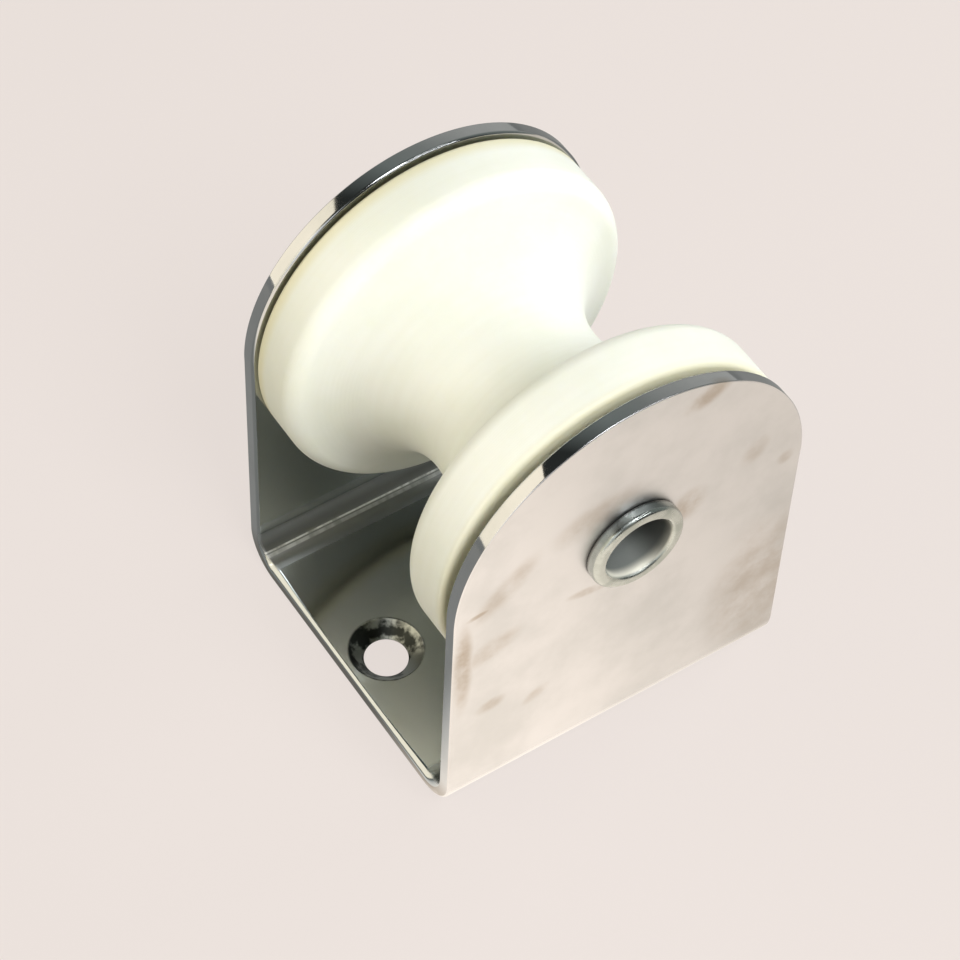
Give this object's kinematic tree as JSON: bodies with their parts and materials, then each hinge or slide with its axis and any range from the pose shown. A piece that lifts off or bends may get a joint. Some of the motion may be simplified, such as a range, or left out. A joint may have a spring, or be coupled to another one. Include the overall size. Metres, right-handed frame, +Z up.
{
  "type": "bow roller",
  "caption": "Bow roller with a deep-grooved nylon roller on a tubular axle between round-topped cheeks of a bent stainless bracket with a screw-down base.",
  "frame": {"origin": "centre of the base's underside, which is the bottom centre of the part's box", "axes": "+Z up from the base, Y along the axle, X along the rope that runs over the roller"},
  "size_m": [0.06, 0.062, 0.078],
  "materials": {
    "bracket": "polished",
    "roller": "turned, matt white nylon",
    "axle": "satin"
  },
  "bodies": {
    "bracket": {"bracket": "bracket", "axle_tube": "axle"},
    "roller": {"roller": "roller"}
  },
  "joints": [
    {"name": "roller_spin", "type": "hinge", "parent": "bracket", "child": "roller", "pos_m": [0, 0, 0.048], "axis": [0, 1, 0], "continuous": true}
  ]
}
